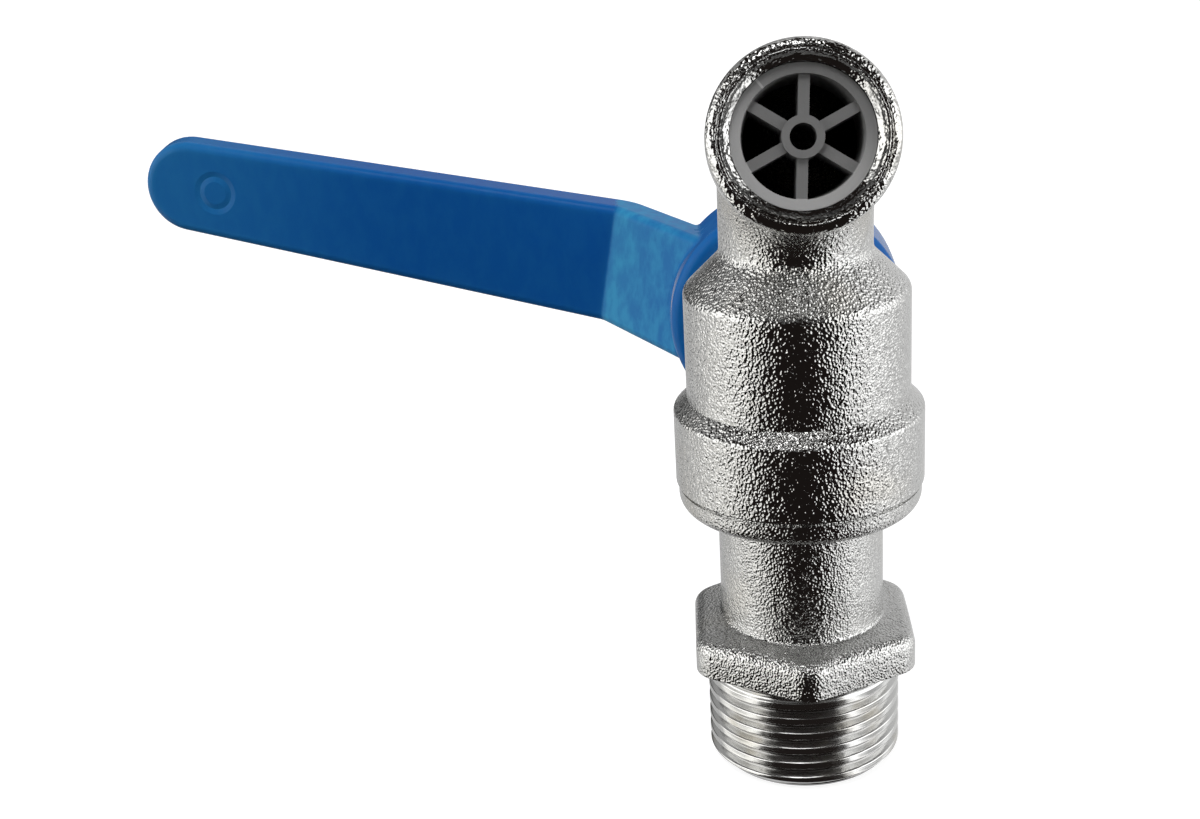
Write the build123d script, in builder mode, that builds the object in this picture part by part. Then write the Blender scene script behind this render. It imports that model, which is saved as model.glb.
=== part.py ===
"""Hose tap: a half-inch lever ball valve with a short bent spout.

The tap stands on its inlet thread. The inlet axis is +Z, with the origin in the middle of the
thread's end face. The spout bends towards -Y, and the stem leaves the valve towards +Y, where a
blue lever turns it a quarter turn. Sizes are in millimetres.
"""
import os
from math import acos, asin, cos, degrees, radians, sin, sqrt, tan

from build123d import *

# Inlet connector: pipe thread G 1/2, spanner hexagon, plain neck and the band under the body
thread_diameter = 20.955
thread_length = 12.45
thread_end_chamfer = 1.2
inlet_bore_diameter = 14.5
inlet_bore_depth = 25.0
inlet_bore_taper = 2.4
hexagon_across_flats = 23.5
hexagon_edge_height = 3.75
hexagon_top_rise = 0.75
hexagon_corner_radius = 3.0
hexagon_edge_radius = 0.45
hexagon_rotation = 30.0
neck_wall = 1.55
neck_length = 13.1
band_height = 2.8
band_taper = 1.5
band_edge_radius = 0.6
seam_step = 0.12
seam_edge_radius = 0.25

# Valve: ball, seats and the bore through them
ball_diameter = 17.5
waterway_diameter = 10.0
ball_room = 0.55
seat_gap = 0.12
seat_edge_angle = 38.0
seat_rim = 1.0
seat_back = 2.0
seat_proud = 0.3
seat_clearance = 0.05
stem_above_seam = 11.75

# Body casting: collar over the screwed joint, barrel round the ball, shoulder and stem boss
joint_step = 0.95
joint_clearance = 0.05
joint_end_gap = 0.4
collar_wall = 2.87
collar_height = 8.1
collar_slope_height = 1.4
collar_edge_radius = 0.5
body_wall = 2.43
body_height = 11.55
shoulder_angle = 45.0
shoulder_edge_radius = 1.2
shoulder_root_radius = 1.6
boss_wall = 2.0
stop_angle_width = 24.0
stop_height = 3.0
stop_root = 1.0
stop_foot_depth = 8.0

# O-ring under the collar that seals the screwed joint
joint_ring_section = 1.3
joint_ring_height = 1.3
joint_ring_squeeze_gap = 0.03

# Spout: a bent tube with a beaded lip round the mouth
spout_bore_diameter = 11.2
spout_wall = 2.28
spout_rise = 0.85
spout_bend_radius = 13.0
spout_turn = 72.7
spout_run_length = 8.05
lip_wall = 2.22
lip_length = 3.9
lip_blend = 1.5
lip_front_radius = 0.95
lip_back_radius = 0.7
lip_bevel_width = 0.85
lip_bevel_depth = 0.75
lip_crest = 0.08
lip_groove_width = 0.5

# Flow straightener pressed into the mouth
straightener_diameter = 13.5
straightener_clearance = 0.05
straightener_recess = 1.2
straightener_length = 6.0
straightener_rim = 1.0
straightener_draft = 0.35
straightener_hub_diameter = 4.0
straightener_hole_diameter = 2.5
straightener_spokes = 6
straightener_spoke_width = 1.05
straightener_spoke_recess = 0.5
straightener_turn = 3.0

# Stem with its tang, flange, flats and threaded end, and what seals it in the boss
stem_diameter = 7.8
stem_clearance = 0.05
slot_depth = 2.3
slot_width = 4.3
tang_clearance = 0.1
stem_end_gap = 0.15
stem_ball_gap = 0.25
stem_flange_diameter = 9.4
stem_flange_thickness = 1.5
stem_flange_room = 0.3
stem_play = 0.05
stem_land = 2.6
stem_flat_width = 6.2
stem_thread_diameter = 6.0
stem_thread_end = 1.0
stem_thread_clearance = 0.05
thrust_washer_thickness = 0.8
stem_ring_section = 1.2
stem_ring_gap = 0.03
packing_wall = 2.0
packing_thickness = 2.4
packing_clearance = 0.05
gland_thread_length = 2.65
gland_head_gap = 0.3
gland_head_height = 2.7
gland_across_flats = 13.0
gland_clearance = 0.15

# Lever: a cup over the stem boss and a flat arm that steps out and runs to a round tip
lever_rest_turn = 10.0
lever_travel = 90.0
cup_diameter = 26.6
cup_wall = 1.8
cup_overlap = 2.5
cup_floor_gap = 1.2
cup_floor = 3.8
cup_edge_radius = 1.6
cup_rim_radius = 1.2
hub_fit = 0.05
stop_rib_angle_width = 40.0
stop_rib_height = 2.4
stop_rib_start = 0.4
stop_slack_angle = 0.8
arm_thickness = 4.8
arm_root_inset = 4.2
arm_root_radius = 0.8
arm_bend_reach = 21.0
arm_bend_offset = 12.4
arm_bend_radius = 0.6
arm_reach = 79.2
arm_rise = 11.0
arm_root_width = 15.4
arm_tip_width = 11.2
arm_edge_radius = 1.0
arm_mark_from_tip = 9.0
arm_mark_diameter = 4.1
arm_mark_width = 1.3
arm_mark_depth = 0.15

# Lever nut and its spring washer
nut_across_flats = 10.0
nut_height = 5.0
nut_chamfer = 0.5
nut_chamfer_angle = 30.0
spring_washer_diameter = 10.2
spring_washer_thickness = 1.4
spring_washer_split = 0.8

# How near a corner lies to the place that it is picked by
pick_tolerance = 0.01

# Heights up the inlet axis
thread_radius = thread_diameter / 2
bore_radius = waterway_diameter / 2
inlet_radius = inlet_bore_diameter / 2
neck_radius = inlet_radius + neck_wall
hexagon_base = thread_length
hexagon_edge = hexagon_base + hexagon_edge_height
neck_base = hexagon_edge + hexagon_top_rise
band_base = neck_base + neck_length
seam = band_base + band_height
collar_top = seam + collar_height
body_base = collar_top + collar_slope_height
shoulder_base = body_base + body_height
stem_height = seam + stem_above_seam

# Radii that follow from the ball
ball_radius = ball_diameter / 2
cavity_radius = ball_radius + ball_room
body_radius = cavity_radius + body_wall
joint_radius = cavity_radius + joint_step
joint_bore_radius = joint_radius + joint_clearance
collar_radius = joint_bore_radius + collar_wall
band_top_radius = collar_radius - seam_step
band_foot_radius = band_top_radius - band_taper
spout_radius = spout_bore_diameter / 2 + spout_wall
spout_base = shoulder_base + (body_radius - spout_radius) * tan(radians(shoulder_angle))

# Seats: a ring on each side of the ball, with a face that follows it
seat_face_radius = ball_radius + seat_gap
seat_edge_radius = seat_face_radius * cos(radians(seat_edge_angle))
seat_edge_offset = seat_face_radius * sin(radians(seat_edge_angle))
seat_bore_angle = degrees(acos(bore_radius / seat_face_radius))
seat_outer_radius = seat_edge_radius + seat_rim
seat_pocket_radius = seat_outer_radius + seat_clearance
seat_floor_offset = seat_face_radius * sin(radians(seat_bore_angle)) + seat_back
pocket_mouth_offset = seat_edge_offset + seat_proud
connector_top = stem_height - pocket_mouth_offset
cavity_top = stem_height + pocket_mouth_offset
connector_seat_floor = stem_height - seat_floor_offset
body_seat_floor = stem_height + seat_floor_offset

# Stations along the stem, measured from the inlet axis
stem_radius = stem_diameter / 2
stem_bore_radius = stem_radius + stem_clearance
slot_floor = ball_radius - slot_depth
tang_end = slot_floor + stem_end_gap
flange_inner = ball_radius + stem_ball_gap
flange_outer = flange_inner + stem_flange_thickness
washer_inner = flange_outer + stem_play
washer_outer = washer_inner + thrust_washer_thickness
packing_base = washer_outer + stem_land
packing_top = packing_base + packing_thickness
boss_end = packing_top + gland_thread_length
gland_head_base = boss_end + gland_head_gap
gland_top = gland_head_base + gland_head_height
hub_floor = gland_top + cup_floor_gap
hub_back = hub_floor + cup_floor
nut_base = hub_back + spring_washer_thickness
nut_top = nut_base + nut_height
stem_end = nut_top + stem_thread_end
flange_pocket_radius = stem_flange_diameter / 2 + stem_flange_room
packing_inner_radius = stem_radius + packing_clearance
packing_outer_radius = packing_inner_radius + packing_wall
packing_bore_radius = packing_outer_radius + packing_clearance
boss_radius = packing_bore_radius + boss_wall
stem_thread_radius = stem_thread_diameter / 2
nut_bore_radius = stem_thread_radius + stem_thread_clearance

# Lever stations
cup_radius = cup_diameter / 2
cup_inner_radius = cup_radius - cup_wall
cup_rim = boss_end - cup_overlap
stop_rib_inner_radius = cup_inner_radius - stop_rib_height
arm_root_reach = cup_radius - arm_root_inset
arm_bend = cup_rim + arm_bend_offset
arm_tip = arm_bend + arm_rise

# Planes: the valve closed has the lever square to the inlet axis, and it rests a little open
turn_cos = cos(radians(lever_rest_turn))
turn_sin = sin(radians(lever_rest_turn))
stem_axis = Axis((0, 0, stem_height), (0, 1, 0))
stem_plane = Plane(origin=(0, 0, stem_height), x_dir=(-1, 0, 0), z_dir=(0, 1, 0))
lever_plane = Plane(origin=(0, 0, stem_height), x_dir=(-turn_cos, 0, turn_sin), z_dir=(0, 1, 0))
lever_section = Plane(
    origin=(0, 0, stem_height), x_dir=(-turn_cos, 0, turn_sin), z_dir=(-turn_sin, 0, -turn_cos)
)

# O-ring grooves
joint_ring_groove_depth = joint_ring_section + 2 * joint_ring_squeeze_gap
joint_ring_radius = joint_bore_radius - joint_ring_groove_depth / 2
joint_ring_middle = seam + joint_ring_height
joint_ring_groove_height = joint_ring_section + 4 * joint_ring_squeeze_gap
stem_ring_radius = stem_bore_radius - stem_ring_gap - stem_ring_section / 2
stem_ring_middle = (washer_outer + packing_base) / 2
stem_ring_groove_height = stem_ring_section + 4 * stem_ring_gap

# Hexagon: one corner faces the spout's side
hexagon_reach = hexagon_across_flats / sqrt(3)
hexagon_slope = hexagon_top_rise / (hexagon_reach - neck_radius)
hexagon_clear = hexagon_across_flats
hexagon_clear_height = hexagon_edge - (hexagon_clear - hexagon_reach) * hexagon_slope

# Stops: the lever's rib is opposite the arm, and meets one stop closed and the other open
stop_swing = (stop_rib_angle_width + stop_angle_width) / 2 + stop_slack_angle
stop_angles = (180 - stop_swing, 180 + lever_travel + stop_swing)

# Arm: the slope of its long run, the taper of its outline, and the plane of the mark near its tip
arm_slope = arm_rise / (arm_reach - arm_bend_reach)
arm_tip_centre = arm_reach - arm_tip_width / 2
arm_taper = degrees(asin((arm_root_width - arm_tip_width) / 2 / arm_tip_centre))
arm_root_corner = (
    arm_root_width / 2 * sin(radians(arm_taper)),
    arm_root_width / 2 * cos(radians(arm_taper)),
)
arm_mark_reach = arm_reach - arm_mark_from_tip
arm_mark_offset = arm_tip - arm_mark_from_tip * arm_slope
arm_mark_radius = arm_mark_diameter / 2
arm_mark_centre = lever_section.from_local_coords((arm_mark_reach, arm_mark_offset))
arm_mark_axis = Axis(
    arm_mark_centre, lever_section.from_local_coords((arm_slope, -1)) - lever_section.origin
)
arm_mark_section = Plane(
    origin=arm_mark_centre, x_dir=lever_plane.y_dir, z_dir=lever_plane.y_dir.cross(arm_mark_axis.direction)
)

# Spout path and the plane of its mouth
with BuildLine(Plane.YZ) as spout_path:
    spout_start = Line((0, shoulder_base), (0, spout_base + spout_rise))
    spout_bend = JernArc(spout_start @ 1, spout_start % 1, spout_bend_radius, spout_turn)
    spout_end = PolarLine(spout_bend @ 1, spout_run_length, direction=spout_bend % 1)
mouth_centre = spout_end @ 1
mouth_normal = spout_end % 1
mouth_axis = Axis(mouth_centre, mouth_normal)
mouth_plane = Plane(origin=mouth_centre, x_dir=(1, 0, 0), z_dir=mouth_normal)
mouth_section = Plane(
    origin=mouth_centre, x_dir=(1, 0, 0), z_dir=(0, -mouth_normal.Z, mouth_normal.Y)
)
mouth_pocket_radius = straightener_diameter / 2 + straightener_clearance
mouth_pocket_depth = straightener_recess + straightener_length
lip_radius = mouth_pocket_radius + lip_wall
lip_bevel_radius = mouth_pocket_radius + lip_bevel_width
lip_groove_radius = lip_bevel_radius + lip_crest + lip_groove_width / 2
straightener_inner_radius = straightener_diameter / 2 - straightener_rim


def ring_sector(inner_radius, outer_radius, middle_angle, width_angle):
    """Return the sector of a flat ring round the origin."""
    start = middle_angle - width_angle / 2
    with BuildSketch() as sector:
        with BuildLine():
            outer = CenterArc((0, 0), outer_radius, start, width_angle)
            inner = CenterArc((0, 0), inner_radius, start, width_angle)
            Line(outer @ 0, inner @ 0)
            Line(outer @ 1, inner @ 1)
        make_face()
    return sector.sketch_local


def corner_chamfer(across_flats, height):
    """Return the section that takes the corners off the top of a hexagon."""
    flat = across_flats / 2
    outside = across_flats / sqrt(3) + nut_chamfer
    with BuildSketch() as section:
        with BuildLine():
            Polyline(
                (flat, height),
                (outside, height),
                (outside, height - (outside - flat) * tan(radians(nut_chamfer_angle))),
                close=True,
            )
        make_face()
    return section.sketch_local


def seat_section(side):
    """Return half the section of a seat ring, above (1) or below (-1) the ball."""
    with BuildSketch() as section:
        with BuildLine():
            face = CenterArc(
                (0, stem_height),
                seat_face_radius,
                side * seat_edge_angle,
                side * (seat_bore_angle - seat_edge_angle),
            )
            Polyline(
                face @ 0,
                (seat_outer_radius, stem_height + side * seat_edge_offset),
                (seat_outer_radius, stem_height + side * seat_floor_offset),
                (bore_radius, stem_height + side * seat_floor_offset),
                face @ 1,
            )
        make_face()
    return section.sketch_local


# Body casting, from the collar up to the lip of the spout
with BuildPart() as tap_body:
    with BuildSketch(Plane.XZ):
        with BuildLine():
            Polyline(
                (0, seam),
                (collar_radius, seam),
                (collar_radius, collar_top),
                (body_radius, body_base),
                (body_radius, shoulder_base),
                (spout_radius, spout_base),
                (spout_radius, spout_base + spout_rise),
                (0, spout_base + spout_rise),
                close=True,
            )
        make_face()
        fillet(vertices().group_by(Axis.Y)[1], collar_edge_radius)
        fillet(vertices().group_by(Axis.Y)[0].sort_by(Axis.X)[-1], seam_edge_radius)
        for level, radius in ((shoulder_base, shoulder_edge_radius), (spout_base, shoulder_root_radius)):
            fillet(vertices().filter_by(lambda corner: abs(corner.Y - level) < pick_tolerance), radius)
    revolve(axis=Axis.Z)
    with BuildSketch(Plane.XY.offset(shoulder_base)):
        Circle(spout_radius)
    sweep(path=spout_path.wires()[0])
    # Beaded lip round the mouth
    with BuildSketch(mouth_section):
        with BuildLine():
            Polyline(
                (0, -lip_length - lip_blend),
                (spout_radius, -lip_length - lip_blend),
                (lip_radius, -lip_length),
                (lip_radius, 0),
                (0, 0),
                close=True,
            )
        make_face()
        fillet(vertices().group_by(Axis.Y)[-1].sort_by(Axis.X)[-1], lip_front_radius)
        lip_back = vertices().filter_by(lambda corner: abs(corner.Y + lip_length) < pick_tolerance)
        fillet(lip_back, lip_back_radius)
    revolve(axis=mouth_axis)
    # Stem boss with the two stops that the lever meets
    with BuildSketch(stem_plane):
        Circle(boss_radius)
    extrude(amount=boss_end)
    with BuildSketch(stem_plane.offset(stop_foot_depth)):
        for stop_middle in stop_angles:
            add(
                ring_sector(
                    boss_radius - stop_root, boss_radius + stop_height, stop_middle, stop_angle_width
                )
            )
    extrude(amount=boss_end - stop_foot_depth)
    # Ball cavity, screwed joint, seat pocket and waterway
    with BuildSketch(Plane.XZ):
        with BuildLine():
            Polyline(
                (0, seam),
                (joint_bore_radius, seam),
                (joint_bore_radius, connector_top + joint_end_gap),
                (cavity_radius, connector_top + joint_end_gap),
                (cavity_radius, cavity_top),
                (seat_pocket_radius, cavity_top),
                (seat_pocket_radius, body_seat_floor),
                (bore_radius, body_seat_floor),
                (bore_radius, spout_base),
                (0, spout_base),
                close=True,
            )
        make_face()
    revolve(axis=Axis.Z, mode=Mode.SUBTRACT)
    with BuildSketch(Plane.XY.offset(shoulder_base)):
        Circle(spout_bore_diameter / 2)
    sweep(path=spout_path.wires()[0], mode=Mode.SUBTRACT)
    # Pocket for the flow straightener, with a bevelled mouth, and the fine groove round the lip
    with BuildSketch(mouth_plane):
        Circle(mouth_pocket_radius)
    extrude(amount=-mouth_pocket_depth, mode=Mode.SUBTRACT)
    with BuildSketch(mouth_section):
        with BuildLine():
            Polyline(
                (0, 0),
                (lip_bevel_radius, 0),
                (mouth_pocket_radius, -lip_bevel_depth),
                (0, -lip_bevel_depth),
                close=True,
            )
        make_face()
    revolve(axis=mouth_axis, mode=Mode.SUBTRACT)
    with BuildSketch(mouth_section):
        with Locations((lip_groove_radius, 0)):
            Circle(lip_groove_width / 2)
    revolve(axis=mouth_axis, mode=Mode.SUBTRACT)
    # Stem bore: flange pocket on the inside, packing chamber on the outside
    with BuildSketch(stem_plane):
        Circle(flange_pocket_radius)
    extrude(amount=washer_outer, mode=Mode.SUBTRACT)
    with BuildSketch(stem_plane):
        Circle(stem_bore_radius)
    extrude(amount=boss_end, mode=Mode.SUBTRACT)
    with BuildSketch(stem_plane.offset(packing_base)):
        Circle(packing_bore_radius)
    extrude(amount=boss_end - packing_base, mode=Mode.SUBTRACT)

# Inlet connector, turned from one forging and screwed up into the collar
with BuildPart() as inlet_connector:
    with BuildSketch(Plane.XY.offset(hexagon_base)):
        RegularPolygon(hexagon_across_flats / 2, 6, major_radius=False, rotation=hexagon_rotation)
        fillet(vertices(), hexagon_corner_radius)
    extrude(amount=neck_base - hexagon_base)
    # The hexagon's top slopes up from its corners to the neck
    with BuildSketch(Plane.XZ):
        with BuildLine():
            Polyline(
                (neck_radius, neck_base),
                (hexagon_clear, neck_base),
                (hexagon_clear, hexagon_clear_height),
                close=True,
            )
        make_face()
    revolve(axis=Axis.Z, mode=Mode.SUBTRACT)
    hexagon_edges = edges().filter_by(lambda edge: edge.center().Z < neck_base - pick_tolerance)
    fillet(hexagon_edges - hexagon_edges.filter_by(Axis.Z), hexagon_edge_radius)
    with BuildSketch(Plane.XZ):
        with BuildLine():
            Polyline(
                (0, 0),
                (thread_radius - thread_end_chamfer, 0),
                (thread_radius, thread_end_chamfer),
                (thread_radius, hexagon_base),
                (neck_radius, hexagon_base),
                (neck_radius, band_base),
                (band_foot_radius, band_base),
                (band_top_radius, seam),
                (joint_radius, seam),
                (joint_radius, connector_top),
                (0, connector_top),
                close=True,
            )
        make_face()
        band_foot = vertices().filter_by(lambda corner: abs(corner.X - band_foot_radius) < pick_tolerance)
        fillet(band_foot, band_edge_radius)
    revolve(axis=Axis.Z)
    # O-ring groove just above the seam
    with BuildSketch(Plane.XZ):
        with Locations((joint_ring_radius, joint_ring_middle)):
            Rectangle(joint_ring_groove_depth, joint_ring_groove_height)
    revolve(axis=Axis.Z, mode=Mode.SUBTRACT)
    # Inlet bore, its taper down to the waterway, and the pocket of the lower seat
    with BuildSketch(Plane.XZ):
        with BuildLine():
            Polyline(
                (0, 0),
                (inlet_radius, 0),
                (inlet_radius, inlet_bore_depth),
                (bore_radius, inlet_bore_depth + inlet_bore_taper),
                (bore_radius, connector_seat_floor),
                (seat_pocket_radius, connector_seat_floor),
                (seat_pocket_radius, connector_top),
                (0, connector_top),
                close=True,
            )
        make_face()
    revolve(axis=Axis.Z, mode=Mode.SUBTRACT)

# O-ring in the connector's groove
with BuildPart() as joint_o_ring:
    with BuildSketch(Plane.XZ):
        with Locations((joint_ring_radius, joint_ring_middle)):
            Circle(joint_ring_section / 2)
    revolve(axis=Axis.Z)

# Lower seat ring, in the connector's pocket
with BuildPart() as inlet_seat_ring:
    with BuildSketch(Plane.XZ):
        add(seat_section(-1))
    revolve(axis=Axis.Z)

# The upper seat ring is the same ring turned over
with BuildPart() as outlet_seat_ring:
    with BuildSketch(Plane.XZ):
        add(seat_section(1))
    revolve(axis=Axis.Z)

# Ball: bored along the lever, with a slot across its top for the stem's tang
with BuildPart() as valve_ball:
    with BuildSketch(lever_section):
        with BuildLine():
            half_round = CenterArc((0, 0), ball_radius, -90, 180)
            Line(half_round @ 0, half_round @ 1)
        make_face()
    revolve(axis=stem_axis)
    with BuildSketch(Plane(origin=lever_plane.origin, z_dir=lever_plane.x_dir)):
        Circle(bore_radius)
    extrude(amount=ball_radius, both=True, mode=Mode.SUBTRACT)
    with BuildSketch(lever_plane.offset(slot_floor)):
        Rectangle(slot_width, ball_diameter)
    extrude(amount=slot_depth, mode=Mode.SUBTRACT)

# Stem: tang in the ball's slot, flange held inside the body, flats for the lever, threaded end
with BuildPart() as valve_stem:
    with BuildSketch(lever_plane.offset(tang_end)):
        Circle(stem_flange_diameter / 2)
        Rectangle(slot_width - 2 * tang_clearance, stem_flange_diameter, mode=Mode.INTERSECT)
    extrude(amount=flange_inner - tang_end)
    with BuildSketch(lever_plane.offset(flange_inner)):
        Circle(stem_flange_diameter / 2)
    extrude(amount=stem_flange_thickness)
    with BuildSketch(lever_plane.offset(flange_outer)):
        Circle(stem_radius)
    extrude(amount=hub_floor - flange_outer)
    with BuildSketch(lever_plane.offset(hub_floor)):
        Circle(stem_radius)
        Rectangle(stem_diameter, stem_flat_width, mode=Mode.INTERSECT)
    extrude(amount=cup_floor - hub_fit)
    with BuildSketch(lever_plane.offset(hub_back - hub_fit)):
        Circle(stem_thread_radius)
    extrude(amount=stem_end - hub_back + hub_fit)
    chamfer(faces().sort_by(Axis.Y)[-1].edges(), stem_thread_end / 2)
    with BuildSketch(lever_section):
        with Locations((stem_ring_radius, stem_ring_middle)):
            Rectangle(stem_ring_section + stem_ring_gap, stem_ring_groove_height)
    revolve(axis=stem_axis, mode=Mode.SUBTRACT)

# O-ring in the stem's groove
with BuildPart() as stem_o_ring:
    with BuildSketch(lever_section):
        with Locations((stem_ring_radius, stem_ring_middle)):
            Circle(stem_ring_section / 2)
    revolve(axis=stem_axis)

# Washer that the stem's flange thrusts on
with BuildPart() as stem_thrust_washer:
    with BuildSketch(stem_plane.offset(washer_inner)):
        Circle(stem_flange_diameter / 2)
        Circle(packing_inner_radius, mode=Mode.SUBTRACT)
    extrude(amount=thrust_washer_thickness)

# Packing ring, squeezed round the stem by the gland nut
with BuildPart() as stem_packing:
    with BuildSketch(stem_plane.offset(packing_base)):
        Circle(packing_outer_radius)
        Circle(packing_inner_radius, mode=Mode.SUBTRACT)
    extrude(amount=packing_thickness)

# Gland nut, screwed into the boss onto the packing
with BuildPart() as gland_nut:
    with BuildSketch(stem_plane.offset(packing_top)):
        Circle(packing_outer_radius)
    extrude(amount=gland_top - packing_top)
    with BuildSketch(stem_plane.offset(gland_head_base)):
        RegularPolygon(gland_across_flats / 2, 6, major_radius=False)
    extrude(amount=gland_head_height)
    with BuildSketch(lever_section):
        add(corner_chamfer(gland_across_flats, gland_top))
    revolve(axis=stem_axis, mode=Mode.SUBTRACT)
    with BuildSketch(stem_plane.offset(packing_top)):
        Circle(stem_radius + gland_clearance)
    extrude(amount=gland_top - packing_top, mode=Mode.SUBTRACT)

# Lever, cast in one piece: the arm first, cut to its tapering outline
with BuildPart() as lever_handle:
    with BuildSketch(lever_section):
        with BuildLine():
            inner_face = FilletPolyline(
                (arm_root_reach, cup_rim),
                (arm_bend_reach, arm_bend),
                (arm_reach + arm_thickness, arm_tip + arm_thickness * arm_slope),
                radius=arm_bend_radius,
            )
            offset(inner_face, amount=arm_thickness, side=Side.LEFT)
        make_face()
    extrude(amount=arm_root_width, both=True)
    with BuildSketch(lever_plane):
        with BuildLine():
            tip_arc = CenterArc(
                (arm_tip_centre, 0), arm_tip_width / 2, arm_taper - 90, 180 - 2 * arm_taper
            )
            Polyline(
                tip_arc @ 1,
                arm_root_corner,
                (arm_root_corner[0], -arm_root_corner[1]),
                tip_arc @ 0,
            )
        make_face()
    extrude(amount=arm_tip + arm_thickness * 2, mode=Mode.INTERSECT)
    # Every edge along the arm is rounded, apart from the end inside the cup
    along_arm = Axis(lever_plane.origin, lever_plane.x_dir)
    across_arm = Axis(lever_plane.origin, lever_plane.y_dir)
    long_edges = edges() - edges().filter_by(across_arm) - edges().filter_by(stem_axis)
    fillet(long_edges.sort_by(along_arm)[2:], arm_edge_radius)
    # Cup over the stem boss
    with BuildSketch(lever_section):
        with BuildLine():
            Polyline(
                (0, cup_rim),
                (cup_radius, cup_rim),
                (cup_radius, hub_back),
                (0, hub_back),
                close=True,
            )
        make_face()
        fillet(vertices().group_by(Axis.X)[-1].sort_by(Axis.Y)[-1], cup_edge_radius)
        fillet(vertices().group_by(Axis.Y)[0].sort_by(Axis.X)[-1], cup_rim_radius)
    revolve(axis=stem_axis)
    fillet(edges(Select.NEW), arm_root_radius)
    with BuildSketch(lever_plane.offset(cup_rim)):
        Circle(cup_inner_radius)
    extrude(amount=hub_floor - cup_rim, mode=Mode.SUBTRACT)
    # Rib inside the cup, which meets the body's stops at each end of the travel
    with BuildSketch(lever_plane.offset(cup_rim + stop_rib_start)):
        add(ring_sector(stop_rib_inner_radius, cup_radius - cup_wall / 2, 180, stop_rib_angle_width))
    extrude(amount=hub_floor - cup_rim - stop_rib_start)
    # Hole with two flats for the stem
    with BuildSketch(lever_plane.offset(hub_floor)):
        Circle(stem_radius + hub_fit)
        Rectangle(stem_diameter * 2, stem_flat_width + 2 * hub_fit, mode=Mode.INTERSECT)
    extrude(amount=cup_floor, mode=Mode.SUBTRACT)
    # Round mark cast into the face near the tip
    with BuildSketch(arm_mark_section):
        with BuildLine():
            Polyline(
                (arm_mark_radius, -arm_mark_depth),
                (arm_mark_radius + arm_mark_width, arm_mark_depth),
                (arm_mark_radius - arm_mark_width, arm_mark_depth),
                close=True,
            )
        make_face()
    revolve(axis=arm_mark_axis, mode=Mode.SUBTRACT)

# Split spring washer between the lever and its nut
with BuildPart() as lever_spring_washer:
    with BuildSketch(lever_plane.offset(hub_back)):
        Circle(spring_washer_diameter / 2)
        Circle(nut_bore_radius, mode=Mode.SUBTRACT)
        with Locations((0, spring_washer_diameter / 2)):
            Rectangle(spring_washer_split, spring_washer_diameter, mode=Mode.SUBTRACT)
    extrude(amount=spring_washer_thickness)

# Nut that holds the lever on the stem
with BuildPart() as lever_nut:
    with BuildSketch(lever_plane.offset(nut_base)):
        RegularPolygon(nut_across_flats / 2, 6, major_radius=False)
        Circle(nut_bore_radius, mode=Mode.SUBTRACT)
    extrude(amount=nut_height)
    with BuildSketch(lever_section):
        add(corner_chamfer(nut_across_flats, nut_top))
    revolve(axis=stem_axis, mode=Mode.SUBTRACT)

# Flow straightener: a ring with six spokes and a hollow hub
with BuildPart() as flow_straightener:
    with BuildSketch(mouth_plane.offset(-straightener_recess)):
        Circle(straightener_diameter / 2)
    extrude(amount=-straightener_length)
    with BuildSketch(mouth_section):
        with BuildLine():
            Polyline(
                (0, -straightener_recess),
                (straightener_inner_radius, -straightener_recess),
                (straightener_inner_radius - straightener_draft, -mouth_pocket_depth),
                (0, -mouth_pocket_depth),
                close=True,
            )
        make_face()
    revolve(axis=mouth_axis, mode=Mode.SUBTRACT)
    with BuildSketch(mouth_plane.offset(-mouth_pocket_depth)):
        with PolarLocations(straightener_inner_radius / 2, straightener_spokes, 90 - straightener_turn):
            Rectangle(straightener_inner_radius, straightener_spoke_width)
    extrude(amount=straightener_length - straightener_spoke_recess)
    with BuildSketch(mouth_plane.offset(-mouth_pocket_depth)):
        Circle(straightener_hub_diameter / 2)
    extrude(amount=straightener_length)
    with BuildSketch(mouth_plane.offset(-mouth_pocket_depth)):
        Circle(straightener_hole_diameter / 2)
    extrude(amount=straightener_length, mode=Mode.SUBTRACT)

# One file for each piece
pieces = {
    "tap_body": tap_body,
    "inlet_connector": inlet_connector,
    "joint_o_ring": joint_o_ring,
    "inlet_seat_ring": inlet_seat_ring,
    "outlet_seat_ring": outlet_seat_ring,
    "valve_ball": valve_ball,
    "valve_stem": valve_stem,
    "stem_o_ring": stem_o_ring,
    "stem_thrust_washer": stem_thrust_washer,
    "stem_packing": stem_packing,
    "gland_nut": gland_nut,
    "lever_handle": lever_handle,
    "lever_spring_washer": lever_spring_washer,
    "lever_nut": lever_nut,
    "flow_straightener": flow_straightener,
}
os.makedirs("parts", exist_ok=True)
for name, piece in pieces.items():
    piece.part.label = name
    export_step(piece.part, f"parts/{name}.step")
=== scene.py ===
"""Hose tap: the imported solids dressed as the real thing, a plated brass ball tap with a blue lever."""
import math

import bpy
import numpy as np
from mathutils import Matrix, Vector


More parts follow.
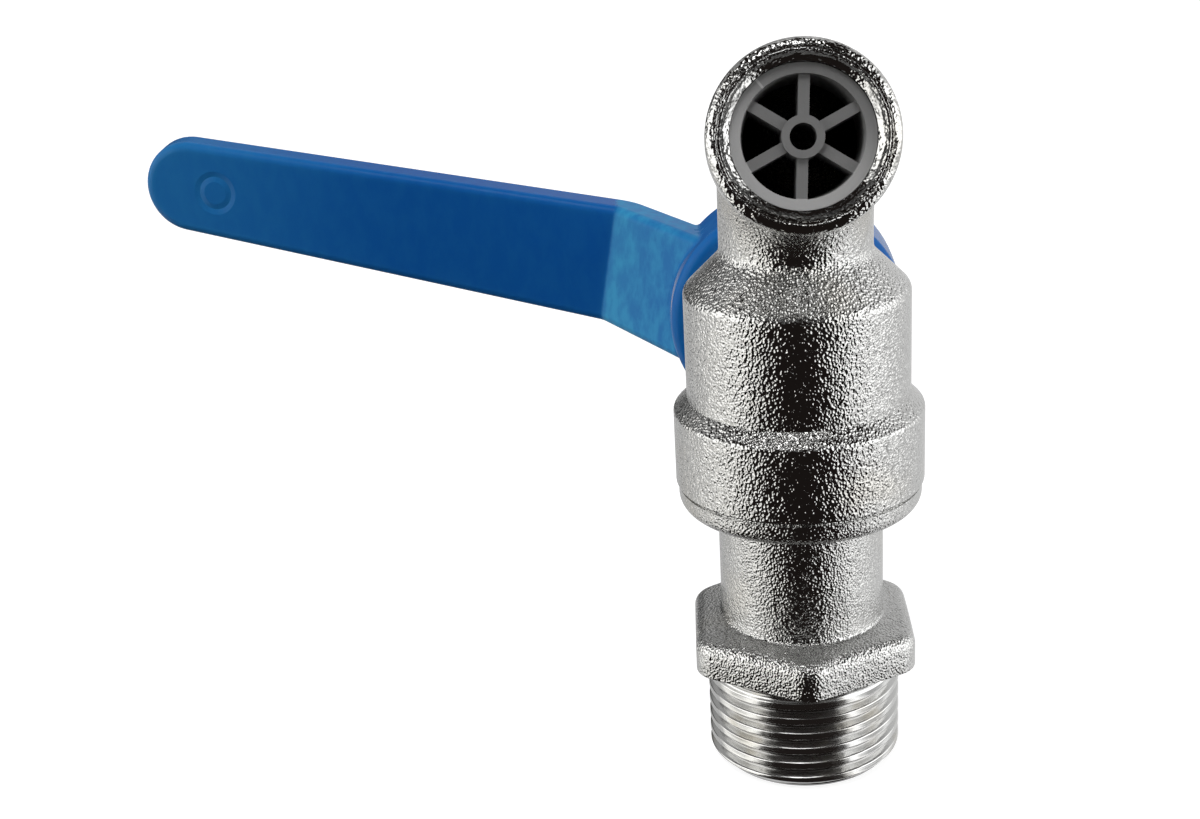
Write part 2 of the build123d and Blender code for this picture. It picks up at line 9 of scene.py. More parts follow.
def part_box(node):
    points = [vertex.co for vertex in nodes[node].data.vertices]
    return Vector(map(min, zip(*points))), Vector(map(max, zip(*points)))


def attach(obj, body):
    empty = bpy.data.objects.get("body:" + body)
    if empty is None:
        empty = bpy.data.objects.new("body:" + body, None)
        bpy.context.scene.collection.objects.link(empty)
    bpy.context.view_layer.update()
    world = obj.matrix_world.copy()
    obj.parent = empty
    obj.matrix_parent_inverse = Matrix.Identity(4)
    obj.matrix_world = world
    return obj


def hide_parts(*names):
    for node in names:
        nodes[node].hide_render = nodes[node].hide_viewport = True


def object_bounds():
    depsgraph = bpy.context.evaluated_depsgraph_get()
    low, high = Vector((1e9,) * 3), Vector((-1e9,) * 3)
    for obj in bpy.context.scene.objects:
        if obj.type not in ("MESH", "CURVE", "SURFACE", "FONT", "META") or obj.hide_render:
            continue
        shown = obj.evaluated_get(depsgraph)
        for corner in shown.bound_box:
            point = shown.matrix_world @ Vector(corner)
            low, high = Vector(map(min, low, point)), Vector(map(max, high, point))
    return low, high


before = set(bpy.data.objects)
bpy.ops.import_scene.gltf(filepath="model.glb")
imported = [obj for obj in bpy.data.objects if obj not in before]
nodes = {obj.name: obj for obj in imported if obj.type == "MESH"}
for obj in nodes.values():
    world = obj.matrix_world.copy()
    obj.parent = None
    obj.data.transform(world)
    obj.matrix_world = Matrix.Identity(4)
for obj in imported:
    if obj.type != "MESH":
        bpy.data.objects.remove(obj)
solid_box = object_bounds()


# The viewpoint: a short telephoto held close over a table, looking down at the tap from the front
# and a little to its left. The picture is taken to be 1200 by 819.
camera_place = Vector((-0.01011, -0.1831, 0.11176))
camera_yaw = math.radians(3.38)
camera_pitch = math.radians(21.08)
camera_roll = math.radians(-3.35)
camera_lens = 55.709
camera_sensor = 36
camera_nearest = 0.01
ahead = Vector((
    -math.sin(camera_yaw) * math.cos(camera_pitch),
    math.cos(camera_yaw) * math.cos(camera_pitch),
    -math.sin(camera_pitch),
))
level = Vector((math.cos(camera_yaw), math.sin(camera_yaw), 0))
upright = level.cross(ahead)
right = level * math.cos(camera_roll) + upright * math.sin(camera_roll)
up = upright * math.cos(camera_roll) - level * math.sin(camera_roll)
camera_data = bpy.data.cameras.new("camera")
camera_data.lens = camera_lens
camera_data.sensor_width = camera_sensor
camera_data.sensor_fit = "HORIZONTAL"
camera_data.clip_start = camera_nearest
camera = bpy.data.objects.new("camera", camera_data)
camera.matrix_world = Matrix.Translation(camera_place) @ Matrix((right, up, -ahead)).transposed().to_4x4()
bpy.context.scene.collection.objects.link(camera)
bpy.context.scene.camera = camera
bpy.context.scene.view_settings.view_transform = "Standard"


class Field:
    """One output of a node: sums on it add Math nodes, and node() adds a node of any other kind."""

    def __init__(self, output):
        self.output = output
        self.tree = output.id_data

    def node(self, kind, settings, sockets, result=0):
        made = self.tree.nodes.new(kind)
        for name, value in settings.items():
            setattr(made, name, value)
        for name, value in sockets.items():
            if isinstance(value, Field):
                self.tree.links.new(value.output, made.inputs[name])
            else:
                made.inputs[name].default_value = value
        return Field(made.outputs[result]) if len(made.outputs) else made

    def maths(self, operation, first, second=0.0):
        return self.node("ShaderNodeMath", {"operation": operation}, {0: first, 1: second})

    def __add__(self, other):
        return self.maths("ADD", self, other)

    def __radd__(self, other):
        return self.maths("ADD", other, self)

    def __sub__(self, other):
        return self.maths("SUBTRACT", self, other)

    def __rsub__(self, other):
        return self.maths("SUBTRACT", other, self)

    def __mul__(self, other):
        return self.maths("MULTIPLY", self, other)

    def __rmul__(self, other):
        return self.maths("MULTIPLY", other, self)

    def __abs__(self):
        return self.maths("ABSOLUTE", self)


def grey(value):
    """A neutral colour of that brightness."""
    return (value, value, value, 1)


def vector(operation, first, second=(0.0, 0.0, 0.0)):
    """Vector maths on a place or a heading. A dot product or a length is a number."""
    result = 1 if operation in ("DOT_PRODUCT", "LENGTH") else 0
    return first.node("ShaderNodeVectorMath", {"operation": operation}, {0: first, 1: second}, result)


def between(value, low, high):
    """0 below low, 1 above high, and a smooth step from one to the other."""
    return value.node(
        "ShaderNodeMapRange", {"interpolation_type": "SMOOTHSTEP"},
        {"Value": value, "From Min": low, "From Max": high},
    )


def blended(share, first, second):
    """The first colour, passing to the second as the share grows to 1."""
    return share.node("ShaderNodeMix", {"data_type": "RGBA"}, {0: share, 6: first, 7: second}, result=2)


# The studio: a white panel on each side of a white table, with a dark room between them that bright metal
# shows as a dark upright band. Behind it is dark on the left and grey on the right, and a softbox lights
# paint and plastic. A pair of numbers is where a soft change starts and ends.
panel_left_low = (0.325, 0.32, 0.305, 1)
panel_left_high = (1.85, 1.84, 1.81, 1)
panel_left_edge = (1.62, 1.60, 1.54, 1)
panel_left_top = grey(0.40)
panel_right_low = grey(0.42)
panel_right_high = grey(1.95)
panel_right_edge = grey(1.80)
panel_right_top = grey(0.75)
panel_lift = (-0.5, 0.1)
panel_lean = (-0.33, 0.3)
panel_lean_end = (0.4, 0.65)
panel_overhead = (0.68, 0.98)
panel_beside = (-0.25, 0.15)
panel_beside_drop = 0.45
panel_edge_width = (0.06, 0.18)
panel_edge_blur = (-0.035, 0.035)
left_to_right = (-0.2, 0.2)
room_front = (0.014, 0.011, 0.010, 1)
room_ceiling = grey(0.16)
room_ceiling_start = (0.40, 0.46)
room_ceiling_end = (0.58, 0.66)
room_middle = -0.03
room_half_width = 0.708
room_narrowing = 0.08
back_left_low = grey(0.54)
back_left = grey(0.05)
back_left_top = grey(0.38)
back_right_low = grey(0.68)
back_right = grey(0.75)
back_right_top = grey(0.62)
back_start = (0.2, 0.6)
back_foot = (-0.3, -0.05)
back_rise = (0.1, 0.45)
softbox_place = Vector((-0.12, -0.2, 0.6))
softbox_aim = Vector((-0.02, 0, 0.06))
softbox_size = 0.3
softbox_power = 1.08
softbox_glow = grey(2.60)
softbox_heading = (-0.1, -0.36, 0.928)
softbox_rim = (0.958, 0.982)
floor_size = 6
floor_cells = 8
floor_colour = grey(0.4)
floor_roughness = 0.9
floor_glow = 0.85
world = bpy.data.worlds.new("two_panels")
world.use_nodes = True
bpy.context.scene.world = world
world.node_tree.nodes.clear()
towards = Field(world.node_tree.nodes.new("ShaderNodeTexCoord").outputs["Generated"])
heading = towards.node("ShaderNodeSeparateXYZ", {}, {"Vector": towards})
east, north, height = (Field(socket) for socket in heading.output.node.outputs)
on_right = between(east, *left_to_right)
lift = between(height, *panel_lift)
overhead = between(height + panel_beside_drop * between(north, *panel_beside), *panel_overhead)
lean = between(height, *panel_lean) * (1 - between(height, *panel_lean_end))
past_edge = abs(east - room_middle) - (room_half_width - room_narrowing * lean)
past_bright_edge = between(past_edge, *panel_edge_width)


def panel(edge, low, high, top):
    """A panel that is bright along its edge and higher up, and dim low down and overhead."""
    return blended(overhead, blended(lift, blended(past_bright_edge, edge, low), high), top)


def back(low, middle, top):
    """What stands behind the tap, from the table up."""
    return blended(between(height, *back_rise), blended(between(height, *back_foot), low, middle), top)


panels = blended(
    on_right,
    panel(panel_left_edge, panel_left_low, panel_left_high, panel_left_top),
    panel(panel_right_edge, panel_right_low, panel_right_high, panel_right_top),
)
ceiling = between(height, *room_ceiling_start) * (1 - between(height, *room_ceiling_end))
in_softbox = between(vector("DOT_PRODUCT", towards, softbox_heading), *softbox_rim)
room = blended(in_softbox, blended(ceiling, room_front, room_ceiling), softbox_glow)
front = blended(between(past_edge, *panel_edge_blur), room, panels)
behind = blended(
    on_right, back(back_left_low, back_left, back_left_top), back(back_right_low, back_right, back_right_top)
)
surround = blended(between(north, *back_start), front, behind)
glow = surround.node("ShaderNodeBackground", {}, {"Color": surround, "Strength": 1.0})
glow.node("ShaderNodeOutputWorld", {}, {"Surface": glow})

softbox_light = bpy.data.lights.new("softbox", "AREA")
softbox_light.size = softbox_size
softbox_light.energy = softbox_power
softbox = bpy.data.objects.new("softbox", softbox_light)
softbox.location = softbox_place
softbox.rotation_euler = (softbox_aim - softbox_place).to_track_quat("-Z", "Y").to_euler()
softbox.visible_glossy = False
bpy.context.scene.collection.objects.link(softbox)

bpy.ops.mesh.primitive_grid_add(
    x_subdivisions=floor_cells, y_subdivisions=floor_cells, size=floor_size, location=(0, 0, solid_box[0].z)
)
floor = bpy.context.object
floor.name = "floor"
floor.visible_glossy = False
floor.visible_diffuse = False
floor_paper = bpy.data.materials.new("floor_paper")
floor_paper.use_nodes = True
floor_shader = floor_paper.node_tree.nodes["Principled BSDF"]
floor_shader.inputs["Base Color"].default_value = floor_colour
floor_shader.inputs["Roughness"].default_value = floor_roughness
floor_shader.inputs["Emission Color"].default_value = grey(1.0)
floor_shader.inputs["Emission Strength"].default_value = floor_glow
floor.data.materials.append(floor_paper)


def new_finish(name):
    """A material with no nodes yet but where a point lies on the tap, in metres."""
    finish = bpy.data.materials.new(name)
    finish.use_nodes = True
    finish.node_tree.nodes.clear()
    place = Field(finish.node_tree.nodes.new("ShaderNodeTexCoord").outputs["Object"])
    return finish, place


def shaded(place, **sockets):
    """A Principled shader with those sockets, joined to the material's output."""
    named = {name.replace("_", " "): value for name, value in sockets.items()}
    shader = place.node("ShaderNodeBsdfPrincipled", {}, named)
    shader.node("ShaderNodeOutputMaterial", {}, {"Surface": shader})


def noise(place, size, detail=2.0, roughness=0.5, stretch=None):
    """Soft random bumps of about that size in metres."""
    if stretch:
        place = vector("MULTIPLY", place, stretch)
    return place.node(
        "ShaderNodeTexNoise", {},
        {"Vector": place, "Scale": 1 / size, "Detail": detail, "Roughness": roughness},
    )


def bump(height, depth, normal=None):
    """A normal that follows a height of that many metres."""
    sockets = {"Height": height, "Strength": 1.0, "Distance": depth}
    if normal:
        sockets["Normal"] = normal
    return height.node("ShaderNodeBump", {}, sockets)


# The skin of the two castings: brass, blasted with shot and then plated with bright nickel, so it is
# a mirror full of round marks of about a third of a millimetre. Masks can add coarser ridges to it,
# deepen its marks, or make a face satin where it has been pressed flat.
plating_colour = (0.60, 0.60, 0.59, 1)
plating_warm = (0.60, 0.55, 0.44, 1)
plating_warm_share = 0.25
plating_roughness = 0.02
patch_size = 0.011
patch_warmth = (0.56, 0.74)
patch_roughness = 0.04
shot_rim = (0.1, 0.8)
scuffs_per_shot = 0.7
scuff_depth = 0.20
lump_size = 0.0007
lump_depth = 0.00007
ridge_wear = 0.4
bevel_wear = 0.55
pitting = 0.7
satin_roughness = 0.12


def plated_casting(name, shot_size, shot_depth, ridges=None, ridge_depth=0.0, satin=None, pitted=None):
    """The blasted and plated skin, with coarse ridges, or satin or pitted where that mask is 1."""
    finish, place = new_finish(name)
    shot = place.node("ShaderNodeTexVoronoi", {}, {"Vector": place, "Scale": 1 / shot_size})
    scuffs = noise(place, shot_size * scuffs_per_shot, detail=0.5)
    patches = noise(place, patch_size, detail=1.5)
    roughness = plating_roughness + patch_roughness * patches
    grain = shot_depth * between(shot, *shot_rim) + scuff_depth * scuffs
    skin = bump(noise(place, lump_size, detail=1.0), lump_depth)
    if ridges:
        edge, bevel, waves = ridges(place)
        skin = bump(waves * edge, ridge_depth, skin)
        grain = grain * (1 - ridge_wear * edge - bevel_wear * bevel)
    if pitted:
        grain = grain * (1 + pitting * pitted(place))
    if satin:
        roughness = roughness + satin_roughness * satin(place)
    warmth = between(patches, *patch_warmth) * plating_warm_share
    shaded(
        place,
        Base_Color=blended(warmth, plating_colour, plating_warm),
        Metallic=1.0,
        Roughness=roughness,
        Normal=bump(grain, shot_size, skin),
    )
    return finish


# The inlet connector: a brass forging, turned and threaded below the hexagon and screwed up into the
# body's collar. The thread is cut smooth, with painted shade darkening its roots, and the hexagon, neck and
# band keep the blasted skin.
pipe_radius = 0.0104775
pipe_pitch = 0.001814
pipe_thread_depth = 0.00072
pipe_crest_width = 0.00072
pipe_round = 0.00006
pipe_flank_angle = math.radians(27.5)
pipe_chamfer = 0.0012
pipe_run_out = 0.0016
hexagon_base = 0.01245
hexagon_flat = 0.01175
hexagon_corner = 0.0030
hexagon_round = 0.0002
hexagon_top_round = 0.0012
hexagon_top_rise = 0.00075
hexagon_top_edge = (0.0159, 0.0162)
neck_radius = 0.0088
neck_base = 0.01695
neck_root = 0.00035
hexagon_slope = hexagon_top_rise / (hexagon_flat * 2 / math.sqrt(3) - neck_radius)
band_base = 0.03005
band_radius = 0.0129
band_round = 0.0015
seam = 0.03285
seam_gap = 0.00035
seam_gap_depth = 0.0004
spigot_radius = 0.01025
spigot_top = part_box("inlet_connector")[1].z
seal_groove_base = 0.03344
seal_groove_top = 0.03486
seal_groove_radius = 0.00894
seat_pocket_radius = 0.0080397
seat_pocket_floor = 0.03514
waterway_radius = 0.005
inlet_radius = 0.00725
inlet_depth = 0.025
inlet_taper = 0.0024
columns = 256
rows_per_turn = 28
edge_rows = 6
slope_shares = np.linspace(0.25, 0.75, 3)
neck_shares = np.linspace(0.1, 1, 6)
band_edge_rows = 9
sharpest_smooth = math.radians(50)
connector_shot_size = 0.00028
connector_shot_depth = 0.185
machined_colour = (0.72, 0.72, 0.71, 1)
machined_roughness = 0.14
turning_size = 0.0006
turning_stretch = (0.1, 0.1, 4.0)
turning_depth = 0.000012
dent_size = 0.0022
dent_depth = 0.00005
stain_size = 0.004
stain_edge = (0.5, 0.8)
stain_share = 0.4
stain_roughness = 0.12
# Painted shade: a darker colour laid into the thread roots, where shade falls.
root_shade_colour = (0.16, 0.155, 0.15, 1)
root_shade_share = 0.5
root_shade_edge = (0.00003, 0.0002)
around = np.linspace(0, 2 * math.pi, columns, endpoint=False)


def softened(fall):
    """A fall below the crest, with nothing above it and a rounded edge."""
    return (fall + np.sqrt(fall**2 + pipe_round**2)) / 2


def thread_depth_at(turns):
    """How far below its flat crest the pipe thread lies, that many turns along it."""
    across = np.abs((turns + 0.5) % 1 - 0.5) * pipe_pitch
    fall = (across - pipe_crest_width / 2) / math.tan(pipe_flank_angle)
    return softened(fall) - softened(fall - pipe_thread_depth)


def hexagon_radius(inset):
    """The hexagon's radius in every direction, set in from its outside by that much."""
    flat = hexagon_flat - inset
    corner = hexagon_corner - inset
    from_flat = np.abs((around + math.pi / 6) % (math.pi / 3) - math.pi / 6)
    corner_centre = (flat - corner) / math.cos(math.pi / 6)
    from_corner = math.pi / 6 - from_flat
    rounded = corner_centre * np.cos(from_corner) + np.sqrt(
        np.maximum(corner**2 - (corner_centre * np.sin(from_corner)) ** 2, 0)
    )
    on_flat = flat * np.tan(from_flat) <= (flat - corner) * math.tan(math.pi / 6)
    return np.where(on_flat, flat / np.cos(from_flat), rounded)


def rounded_edge(radius, rows):
    """Pairs of offsets along a quarter of a circle: from the radius down to 0, and from 0 up to it."""
    for angle in np.linspace(0, math.pi / 2, rows):
        yield radius * (1 - math.sin(angle)), radius * (1 - math.cos(angle))


def lathe(name, rows):
    """A closed mesh through rings given as radius and height, either of which may change round the axis."""
    rings = [
        np.stack(np.broadcast_arrays(radius * np.cos(around), radius * np.sin(around), height), axis=1)
        for radius, height in rows
    ]
    faces = []
    for row in range(len(rows)):
        lower = row * columns
        upper = (row + 1) % len(rows) * columns
        for column in range(columns):
            beside = (column + 1) % columns
            faces.append((lower + column, lower + beside, upper + beside, upper + column))
    mesh = bpy.data.meshes.new(name)
    mesh.from_pydata(np.concatenate(rings).tolist(), [], faces)
    mesh.shade_smooth()
    mesh.set_sharp_from_angle(angle=sharpest_smooth)
    piece = bpy.data.objects.new(name, mesh)
    bpy.context.scene.collection.objects.link(piece)
    return piece


def height_of(place):
    """How high a point lies above the inlet's end."""
    return place.node("ShaderNodeSeparateXYZ", {}, {"Vector": place}, result=2)


def hexagon_top(place):
    """1 on the sloping top of the hexagon."""
    height = height_of(place)
    return between(height, *hexagon_top_edge) * (1 - between(height, neck_base, neck_base + neck_root))


thread_rows = []
for height in np.linspace(0, hexagon_base, int(hexagon_base / pipe_pitch * rows_per_turn)):
    fade = np.clip((hexagon_base - pipe_run_out / 2 - height) / pipe_run_out, 0, 1)
    threaded = pipe_radius - fade * thread_depth_at(height / pipe_pitch - around / (2 * math.pi))
    thread_rows.append((np.minimum(threaded, pipe_radius - pipe_chamfer + height), height))

hexagon_rows = []
for inset, rise in rounded_edge(hexagon_round, edge_rows):
    hexagon_rows.append((hexagon_radius(inset), hexagon_base + rise))
for drop, inset in rounded_edge(hexagon_top_round, edge_rows):
    outline = hexagon_radius(inset)
    hexagon_rows.append((outline, neck_base - hexagon_slope * (outline - neck_radius) - drop))
for share in slope_shares:
    slope_radius = hexagon_radius(hexagon_top_round) * (1 - share) + (neck_radius + neck_root) * share
    hexagon_rows.append((slope_radius, neck_base - hexagon_slope * (slope_radius - neck_radius)))

neck_rows = [(neck_radius + out, neck_base + rise) for out, rise in rounded_edge(neck_root, edge_rows)]
neck_rows += [(neck_radius, neck_base + share * (band_base - neck_base)) for share in neck_shares]

band_rows = []
for inset, rise in rounded_edge(band_round, band_edge_rows):
    band_rows.append((band_radius - inset, band_base + rise))
band_rows += [
    (band_radius, seam - seam_gap), (band_radius - seam_gap_depth, seam - seam_gap),
    (band_radius - seam_gap_depth, seam), (spigot_radius, seam),
]

inner_rows = [
    (spigot_radius, seal_groove_base), (seal_groove_radius, seal_groove_base),
    (seal_groove_radius, seal_groove_top), (spigot_radius, seal_groove_top),
    (spigot_radius, spigot_top), (seat_pocket_radius, spigot_top),
    (seat_pocket_radius, seat_pocket_floor), (waterway_radius, seat_pocket_floor),
    (waterway_radius, inlet_depth + inlet_taper), (inlet_radius, inlet_depth), (inlet_radius, 0.0),
]

connector = lathe("inlet_connector_threaded", thread_rows + hexagon_rows + neck_rows + band_rows + inner_rows)
machined, place = new_finish("plated_machined")
from_axis = vector("LENGTH", vector("MULTIPLY", place, (1.0, 1.0, 0.0)))
from_root = from_axis - (pipe_radius - pipe_thread_depth)
# Painted shade in the thread roots: the colour darkens near the root radius.
root_shaded = root_shade_share * (1 - between(from_root, *root_shade_edge))
turning = noise(place, turning_size, stretch=turning_stretch)
stains = noise(place, stain_size)
stained = blended(between(stains, *stain_edge) * stain_share, machined_colour, plating_warm)
shaded(
    place,
    Base_Color=blended(root_shaded, stained, root_shade_colour),
    Metallic=1.0,
    Roughness=machined_roughness + stain_roughness * stains,
    Normal=bump(turning, turning_depth, bump(noise(place, dent_size), dent_depth)),
)
connector.data.materials.append(
    plated_casting("plated_connector", connector_shot_size, connector_shot_depth, satin=hexagon_top)
)
connector.data.materials.append(machined)
slots = np.zeros(len(connector.data.polygons), dtype=np.int32)
slots[:len(thread_rows) * columns] = 1
slots[-columns:] = 1
connector.data.polygons.foreach_set("material_index", slots)
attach(connector, "tap")
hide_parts("inlet_connector")


def dress(finish, *names):
    """Give those CAD nodes that finish."""
    for name in names:
        nodes[name].data.materials.clear()
        nodes[name].data.materials.append(finish)


# The body: one brass casting from the collar to the lip of the spout, blasted and plated like the
# connector, with deeper marks on the shoulder. The lip is left as it was cast, with ragged ridges that
# run round it.
body_shot_size = 0.00034
body_shot_depth = 0.155
shoulder_start = (0.0538, 0.0548)
shoulder_end = (0.0572, 0.0588)
mouth_centre = (0.0, -0.016820, 0.073406)
mouth_normal = (0.0, -0.95476, 0.29737)
mouth_right = (1.0, 0.0, 0.0)
mouth_up = (0.0, 0.29737, 0.95476)
lip_depth = 0.0021
lip_radius = 0.0082
bevel_radius = 0.00765
bevel_blur = 0.0004
bevel_smoothness = 0.6
ridge_size = 0.00065
ridge_stretch = 0.5
ridge_depth = 0.00020


def shoulder(place):
    """1 on the cone between the barrel and the spout."""
    height = height_of(place)
    return between(height, *shoulder_start) * (1 - between(height, *shoulder_end))


def round_mouth(place):
    """How far a point lies outside the mouth's plane, its distance from the axis and its turn round it."""
    outward = vector("SUBTRACT", place, mouth_centre)
    depth = vector("DOT_PRODUCT", outward, mouth_normal)
    sideways = vector("DOT_PRODUCT", outward, mouth_right)
    upwards = vector("DOT_PRODUCT", outward, mouth_up)
    across = outward.maths("SQRT", upwards * upwards + sideways * sideways)
    return depth, across, outward.maths("ARCTAN2", upwards, sideways)


def lip_ridges(place):
    """Where the lip and its bevel are, and the height of the ridges on it, which run round the mouth."""
    depth, across, turn = round_mouth(place)
    along = turn * (lip_radius * ridge_stretch)
    unrolled = place.node("ShaderNodeCombineXYZ", {}, {"X": along, "Y": across, "Z": depth})
    lip = between(depth, -lip_depth, -lip_depth / 2)
    bevel = lip * (1 - between(across, bevel_radius - bevel_blur, bevel_radius))
    return lip - bevel_smoothness * bevel, bevel, noise(unrolled, ridge_size, detail=1.5)


body_skin = plated_casting(
    "plated_body", body_shot_size, body_shot_depth,
    ridges=lip_ridges, ridge_depth=ridge_depth, pitted=shoulder,
)
dress(body_skin, "tap_body")


# The lever: a die casting in blue stoving paint, thick and smooth, with a slight orange peel. The paint
# is lighter on the rounded edges, from thin paint and a painted highlight, lighter towards the tip from a
# painted sheen, and lighter and streaky on the slant between the cup and the bend, a painted sheen over some
# real scuffing.
paint_blue = (0.006, 0.110, 0.425, 1)
# The lighter blue paints sheen on the slant and towards the tip, and highlight with thin paint on the edges,
# with some real scuffing.
paint_sheen_and_wear = (0.048, 0.36, 0.63, 1)
paint_roughness = 0.2
paint_gloss = 0.10
sheen_and_wear_roughness = 0.25
stem_axis = (0.0, 0.0, 0.0446)
arm_angle = math.radians(10)
arm_heading = (-math.cos(arm_angle), 0.0, math.sin(arm_angle))
arm_bend = 0.0210
cup_radius = 0.0133
cup_edge = (-0.0002, 0.0006)
bend_edge = (-0.0006, 0.0003)
near_bend_stretch = (-0.005, -0.001)
tip_stretch = (0.045, 0.079)
thin_edge_width = 0.0016
thin_edge_turn = (0.004, 0.06)
peel_size = 0.0016
peel_depth = 0.00003
cloud_size = 0.0016
cloud_stretch = (1.0, 1.0, 0.5)
cloud_edge = (0.36, 0.68)
slant_sheen = 0.30
near_bend_sheen = 0.15
slant_streak_sheen = 0.34
# Painted sheen: the paint is lighter towards the tip.
tip_sheen = 0.22
cloud_rub = 0.05
edge_wear_and_highlight = 0.18


def from_stem(place):
    """Where a point lies from the middle of the stem, and how far it is from the stem's axis."""
    offset = vector("SUBTRACT", place, stem_axis)
    return offset, vector("LENGTH", vector("MULTIPLY", offset, (1.0, 0.0, 1.0)))


paint, place = new_finish("blue_paint")
offset, radius = from_stem(place)
reach = vector("DOT_PRODUCT", offset, arm_heading)
# Masks of painted sheen: the slant between the cup and the bend, its end near the bend, and the tip.
slant = between(radius - cup_radius, *cup_edge) * (1 - between(reach - arm_bend, *bend_edge))
near_bend = between(reach - arm_bend, *near_bend_stretch)
tip = between(reach, *tip_stretch)
# The rounded edges get a lighter blue: thin paint there, and a painted highlight.
rounded = place.node("ShaderNodeBevel", {"samples": 4}, {"Radius": thin_edge_width})
facing = place.node("ShaderNodeNewGeometry", {}, {}, result="Normal")
thin_edges = between(1 - vector("DOT_PRODUCT", rounded, facing), *thin_edge_turn)
clouds = noise(place, cloud_size, detail=4.0, roughness=0.6, stretch=cloud_stretch)
clouds = between(clouds, *cloud_edge)
# The lighter blue is painted sheen on the slant and the tip, painted highlight with thin paint on the edges,
# and random cloudiness.
sheen_and_wear = slant * (slant_sheen + near_bend_sheen * near_bend + slant_streak_sheen * clouds)
sheen_and_wear = sheen_and_wear + tip_sheen * tip + cloud_rub * clouds + edge_wear_and_highlight * thin_edges
shaded(
    place,
    Base_Color=blended(sheen_and_wear, paint_blue, paint_sheen_and_wear),
    Roughness=paint_roughness + sheen_and_wear_roughness * sheen_and_wear,
    Specular_IOR_Level=paint_gloss,
    Normal=bump(noise(place, peel_size, detail=1.0), peel_depth),
)
dress(paint, "lever_handle")
nodes["lever_handle"].visible_glossy = False


# The flow straightener: one moulding of grey plastic with a satin skin, pressed into the mouth. Painted
# shade darkens the upper side of its rim and the recessed spokes and hub, and the rim has a mark of the
# mould.
# The darker grey is painted shade, on the upper side of the rim and on the recessed spokes and hub.
plastic_unshaded = grey(0.47)
plastic_painted_shade = grey(0.21)
plastic_marked = grey(0.66)
plastic_roughness = 0.42
plastic_grain_size = 0.00025
plastic_grain_depth = 0.00002
plastic_grain_roughness = 0.1
rim_radius = 0.0056
rim_blur = 0.0001
shade_side = math.radians(65)
shade_edge = (-0.003, 0.006)
shade_least = 0.9
shade_more = 0.2
shade_variation_size = 0.002
mould_mark_turn = 2.23
mould_mark_width = 0.025
mould_mark_share = 0.6
plastic, place = new_finish("grey_plastic")
plastic_grain = noise(place, plastic_grain_size)
depth, across, turn = round_mouth(place)
# Painted shade: darker towards the upper side of the rim and all over inside it, varied a little at random.
toward_shade = across * place.maths("COSINE", turn - shade_side)
inside = 1 - between(across, rim_radius, rim_radius + rim_blur)
painted_shade = place.maths("MAXIMUM", inside, between(toward_shade, *shade_edge))
painted_shade = painted_shade * (shade_least + shade_more * noise(place, shade_variation_size))
off_mark = between(abs(turn - mould_mark_turn), mould_mark_width / 2, mould_mark_width)
marked = mould_mark_share * (1 - off_mark) * between(across, rim_radius, rim_radius + 2 * rim_blur)
shaded(
    place,
    Base_Color=blended(marked, blended(painted_shade, plastic_unshaded, plastic_painted_shade), plastic_marked),
    Roughness=plastic_roughness + plastic_grain_roughness * plastic_grain,
    Normal=bump(plastic_grain, plastic_grain_depth),
)
dress(plastic, "flow_straightener")


# The ball: brass, turned, ground round and plated with hard chrome, so it is a true mirror. The seats
# leave faint rings of wear on it.
ball_colour = (0.72, 0.73, 0.75, 1)
ball_worn = (0.60, 0.58, 0.54, 1)
wear_size = 0.0012
wear_stretch = (0.3, 0.3, 3.0)
wear_edge = (0.5, 0.75)
wear_share = 0.4
chrome, place = new_finish("polished_ball")
wear = between(noise(place, wear_size, stretch=wear_stretch), *wear_edge)
shaded(
    place,
    Base_Color=blended(wear * wear_share, ball_colour, ball_worn),
    Metallic=1.0,
    Roughness=0.04 + 0.10 * wear,
)
dress(chrome, "valve_ball")


# The seats, the thrust washer and the packing: rings turned from white PTFE bar, a little waxy, held
# in their pockets by the pieces that squeeze them.
ptfe_white = grey(0.80)
ptfe_shade = (0.72, 0.71, 0.68, 1)
ptfe_shade_size = 0.003
ptfe_mark_size = 0.0005
ptfe_mark_depth = 0.00001
ptfe, place = new_finish("white_seal")
tool_marks = noise(place, ptfe_mark_size)
shaded(
    place,
    Base_Color=blended(noise(place, ptfe_shade_size), ptfe_white, ptfe_shade),
    Roughness=0.35 + 0.15 * tool_marks,
    Normal=bump(tool_marks, ptfe_mark_depth),
)
dress(ptfe, "inlet_seat_ring", "outlet_seat_ring", "stem_thrust_washer", "stem_packing")


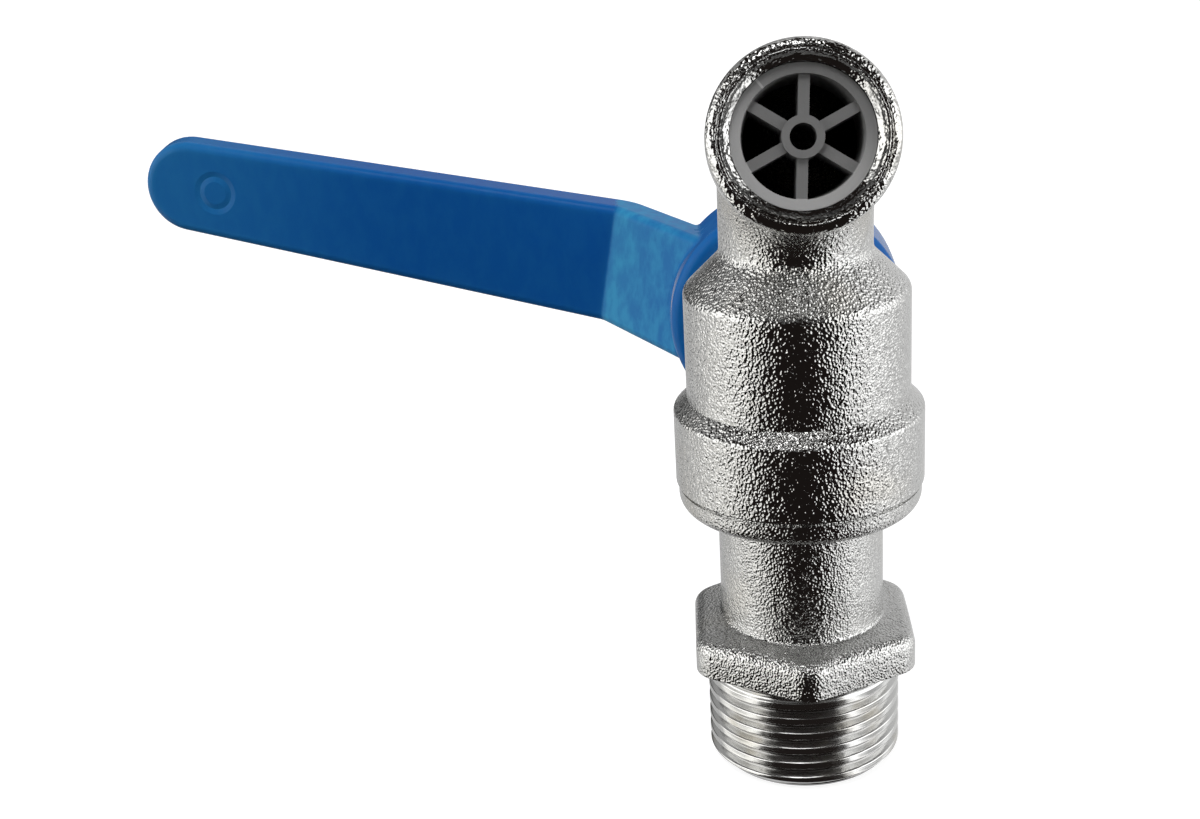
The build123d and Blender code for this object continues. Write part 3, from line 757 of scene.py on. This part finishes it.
# The stem and the gland nut: turned from brass bar and left bare, with the fine rings of the tool. The
# nut is screwed into the boss and the stem is put in from the ball's side.
brass_bright = (0.80, 0.58, 0.26, 1)
brass_dull = (0.56, 0.40, 0.19, 1)
tarnish_size = 0.003
tarnish_edge = (0.4, 0.75)
tool_ring_size = 0.00018
tool_ring_depth = 0.00001
brass, place = new_finish("bare_brass")
radius = from_stem(place)[1]
lengthways = place.node("ShaderNodeSeparateXYZ", {}, {"Vector": place}, result=1)
tool_path = place.node("ShaderNodeCombineXYZ", {}, {"X": radius, "Y": lengthways})
tarnish = noise(place, tarnish_size, detail=3.0)
shaded(
    place,
    Base_Color=blended(between(tarnish, *tarnish_edge), brass_bright, brass_dull),
    Metallic=1.0,
    Roughness=0.18 + 0.2 * tarnish,
    Normal=bump(noise(tool_path, tool_ring_size, detail=1.0), tool_ring_depth),
)
dress(brass, "valve_stem", "gland_nut")


# The lever's nut and spring washer: pressed steel with bright zinc, faintly blue and yellow where the
# zinc has been passivated. They hold the lever on the stem.
zinc_blue = (0.60, 0.63, 0.67, 1)
zinc_yellow = (0.68, 0.62, 0.46, 1)
spangle_size = 0.0012
spangle_depth = 0.00001
spangle_edge = (0.45, 0.7)
zinc, place = new_finish("zinc_steel")
spangle = noise(place, spangle_size, detail=3.0)
shaded(
    place,
    Base_Color=blended(between(spangle, *spangle_edge), zinc_blue, zinc_yellow),
    Metallic=1.0,
    Roughness=0.25 + 0.2 * spangle,
    Normal=bump(spangle, spangle_depth),
)
dress(zinc, "lever_nut", "lever_spring_washer")


# The O-rings: moulded in black rubber, dull from the grease that they are put in with. One seals the
# connector in the collar, the other the stem.
rubber_black = grey(0.018)
rubber_bloom = grey(0.045)
bloom_size = 0.0015
bloom_depth = 0.00001
bloom_edge = (0.4, 0.7)
rubber, place = new_finish("seal_rubber")
bloom = noise(place, bloom_size, detail=3.0)
shaded(
    place,
    Base_Color=blended(between(bloom, *bloom_edge), rubber_black, rubber_bloom),
    Roughness=0.45 + 0.2 * bloom,
    Normal=bump(bloom, bloom_depth),
)
dress(rubber, "joint_o_ring", "stem_o_ring")
